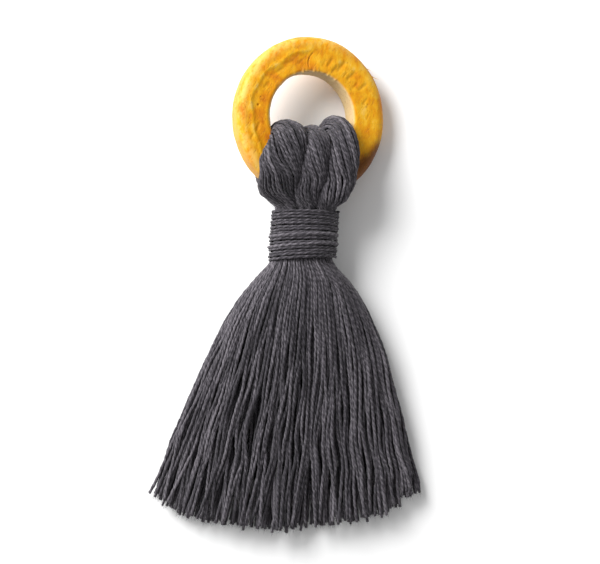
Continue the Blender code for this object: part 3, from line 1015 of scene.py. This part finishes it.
def wood_material():
    """Golden waxed wood: mottled, a pale bore, deep orange hollows, a lip with a painted highlight and a
    scorched edge with painted shade.
    """
    m = Nodes("golden_wood")
    grain = m.add("Attribute", attribute_name="grain").outputs["Vector"]
    across, clock = m.attribute("across"), m.attribute("clock")
    blotches = m.noise(grain, 0.30, detail=2.0, roughness=0.5)
    patches = m.noise(m.scaled(grain, (1.0, 0.6, 1.0)), 0.62, detail=4.0, roughness=0.66)
    fibres = m.noise(m.scaled(grain, (3.4, 0.7, 2.0)), 1.9, detail=4.0, roughness=0.7)
    specks = m.noise(grain, 3.1, detail=2.0, roughness=0.7)
    strokes = m.noise(m.scaled(m.turned(grain, -55), (0.55, 3.2, 1.0)), 1.5, detail=3.0, roughness=0.6)
    level = m.plus(m.times(blotches, 0.40), m.times(patches, 0.46))
    level = m.plus(level, m.times(fibres, 0.24))
    level = m.minus(level, m.times(m.attribute("hollow"), 0.065))
    level = m.plus(level, m.times(m.attribute("ridge"), 0.07))
    colour = m.ramp(level, WOOD_TONES)
    # The outer rounding is painted paler on the left and the top, where the light falls: a painted
    # highlight, broken into pale patches like the wood's mottle. The bore is bare cream wood.
    left_side = m.smooth(m.math("ABSOLUTE", m.minus(clock, 0.42)), 0.33, 0.19)
    rim = m.smooth(across, 0.62, 0.92)
    rim_highlight_patches = m.times(m.times(rim, left_side), m.smooth(patches, 0.36, 0.60))
    colour = m.mix(m.times(rim_highlight_patches, 0.55), colour, PALE_LIP_HIGHLIGHT)
    colour = m.mix(m.times(m.attribute("outer"), 0.45), colour, OUTER_WOOD)
    colour = m.mix(m.times(m.attribute("wall"), 0.80), colour, BORE_WOOD)
    # The lower right of the outer edge is painted dark brown: partly a toasted stain, partly painted shade
    # where the rounding faces away from the light.
    lower_right = m.smooth(m.math("ABSOLUTE", m.minus(clock, 0.895)), 0.095, 0.055)
    brink = m.times(m.minus(clock, 0.825), 5.0)
    ragged = m.plus(across, m.times(m.minus(fibres, 0.5), 0.35))
    toast_and_shade = m.times(lower_right, m.smooth(m.minus(ragged, brink), -0.02, 0.34))
    colour = m.mix(m.times(toast_and_shade, 0.94), colour, TOASTED_AND_SHADED)
    reddish = m.smooth(m.math("ABSOLUTE", m.minus(clock, 0.105)), 0.05, 0.01)
    reddish = m.times(m.times(reddish, m.smooth(across, 0.86, 0.99)), 0.75)
    colour = m.mix(reddish, colour, REDDISH)
    # Marks, cracks and pits are painted darker by their depth: painted shade in the grooves.
    groove_shade = m.times(m.attribute("cut"), 0.85)
    colour = m.mix(groove_shade, colour, GROOVE_SHADE)
    scratches = m.times(m.smooth(strokes, 0.40, 0.31), 0.50)
    colour = m.mix(scratches, colour, SCRATCH)
    dots = m.times(m.smooth(specks, 0.34, 0.26), 0.45)
    colour = m.mix(dots, colour, SPECK)
    colour = m.mix(m.times(m.attribute("burr"), 0.45), colour, BURR)
    m.shade("Base Color", colour)
    m.shade("Roughness", m.ramp(patches, [(0.3, (0.42,) * 3), (0.7, (0.62,) * 3)]))
    m.shade("Specular IOR Level", 0.16)
    relief = m.plus(m.times(fibres, 0.6), m.times(specks, 0.3))
    relief = m.plus(relief, m.smooth(strokes, 0.31, 0.42))
    bump = m.add("Bump", {"Height": relief, "Strength": 0.55, "Distance": 0.00018})
    m.shade("Normal", bump.outputs["Normal"])
    return m.material


def floor_material():
    m = Nodes("pale_floor")
    m.shade("Base Color", FLOOR)
    m.shade("Roughness", 0.9)
    m.shade("Specular IOR Level", 0.1)
    return m.material


# ---------------------------------------------------------------------------------------------
# Stage, light and camera


FLOOR_REACH = 3.0
KEY_PLACE = (-0.20, 0.17, 0.20)
KEY_TARGET = (0, 0.01, 0)
KEY_SIZE = 0.24
KEY_POWER = 1.8
SUN_WAY = (0.75, -0.35, -0.72)
SUN_POWER = 0.95
SUN_SPREAD = math.radians(44)
WALL_LIGHT = 0.78  # the studio's brightness near the horizon
CEILING_LIGHT = 0.45


def build_floor():
    mesh = bpy.data.meshes.new("floor")
    corners = [(x * FLOOR_REACH, y * FLOOR_REACH, 0) for x, y in ((-1, -1), (1, -1), (1, 1), (-1, 1))]
    mesh.from_pydata(corners, [], [(0, 1, 2, 3)])
    mesh.materials.append(floor_material())
    floor = link("floor", mesh)


def add_light(data, place, way):
    light = bpy.data.objects.new(data.name, data)
    light.location = place
    light.rotation_euler = Vector(way).to_track_quat("-Z", "Y").to_euler()
    bpy.context.scene.collection.objects.link(light)


def build_world():
    """A pale studio: bright walls all round, softer overhead."""
    world = bpy.data.worlds.new("studio")
    world.use_nodes = True
    nodes, links = world.node_tree.nodes, world.node_tree.links
    place = nodes.new("ShaderNodeTexCoord")
    height = nodes.new("ShaderNodeSeparateXYZ")
    ramp = nodes.new("ShaderNodeValToRGB")
    links.new(place.outputs["Generated"], height.inputs["Vector"])
    links.new(height.outputs["Z"], ramp.inputs["Fac"])
    links.new(ramp.outputs["Color"], nodes["Background"].inputs["Color"])
    low, high = ramp.color_ramp.elements
    low.position, low.color = 0.06, (WALL_LIGHT, WALL_LIGHT, WALL_LIGHT, 1)
    high.position, high.color = 0.55, (CEILING_LIGHT, CEILING_LIGHT, CEILING_LIGHT, 1)
    bpy.context.scene.world = world


def build_light():
    build_world()
    key = bpy.data.lights.new("key", "AREA")
    key.shape = "DISK"
    key.size = KEY_SIZE
    key.energy = KEY_POWER
    add_light(key, KEY_PLACE, Vector(KEY_TARGET) - Vector(KEY_PLACE))
    sun = bpy.data.lights.new("sun", "SUN")
    sun.energy = SUN_POWER
    sun.angle = SUN_SPREAD
    add_light(sun, (0, 0, 0), SUN_WAY)
    bpy.context.scene.view_settings.view_transform = "Standard"


CAMERA_DISTANCE = 0.45
CAMERA_ELEVATION = math.radians(86)
CAMERA_ROLL = math.radians(3.8)
SENSOR_WIDTH = 36
VIEW_WIDTH = 0.126  # how much of the surface the picture spans


def build_camera():
    """Almost straight above the tassel, a little towards its cut ends."""
    data = bpy.data.cameras.new("camera")
    data.sensor_width = SENSOR_WIDTH
    data.lens = SENSOR_WIDTH * CAMERA_DISTANCE / VIEW_WIDTH
    data.clip_start = 0.01
    camera = bpy.data.objects.new("camera", data)
    target = (Vector(cad_box[0]) + Vector(cad_box[1])) / 2
    towards = Vector((0, -math.cos(CAMERA_ELEVATION), math.sin(CAMERA_ELEVATION)))
    right = Vector((-math.sin(CAMERA_ROLL), math.cos(CAMERA_ROLL), 0)).cross(towards).normalized()
    up = towards.cross(right).normalized()
    turned = Matrix((right, up, towards)).transposed().to_4x4()
    camera.matrix_world = Matrix.Translation(target + towards * CAMERA_DISTANCE) @ turned
    bpy.context.scene.collection.objects.link(camera)
    bpy.context.scene.camera = camera


def main():
    build_camera()
    build_light()
    build_floor()
    yarn = yarn_material("charcoal_yarn")
    (skirt, ends), fold = build_skirt(), build_fold()
    fuzz = fuzz_object("loose_fibres", [skirt[0], *fold[:3]], ends, seed=81)
    fuzz.data.materials.append(fuzz_material())
    for piece in skirt + fold:
        piece.data.materials.append(yarn)
    for piece in [*skirt, *fold, fuzz]:
        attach(piece, ROOT)
        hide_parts("hank")
    wrap = build_wrap()
    wrap.data.materials.append(yarn_material("charcoal_wrap_yarn"))
    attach(wrap, ROOT)
    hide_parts("neck_wrap")
    ring = build_ring()
    ring.data.materials.append(wood_material())
    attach(ring, ROOT)
    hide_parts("ring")


main()
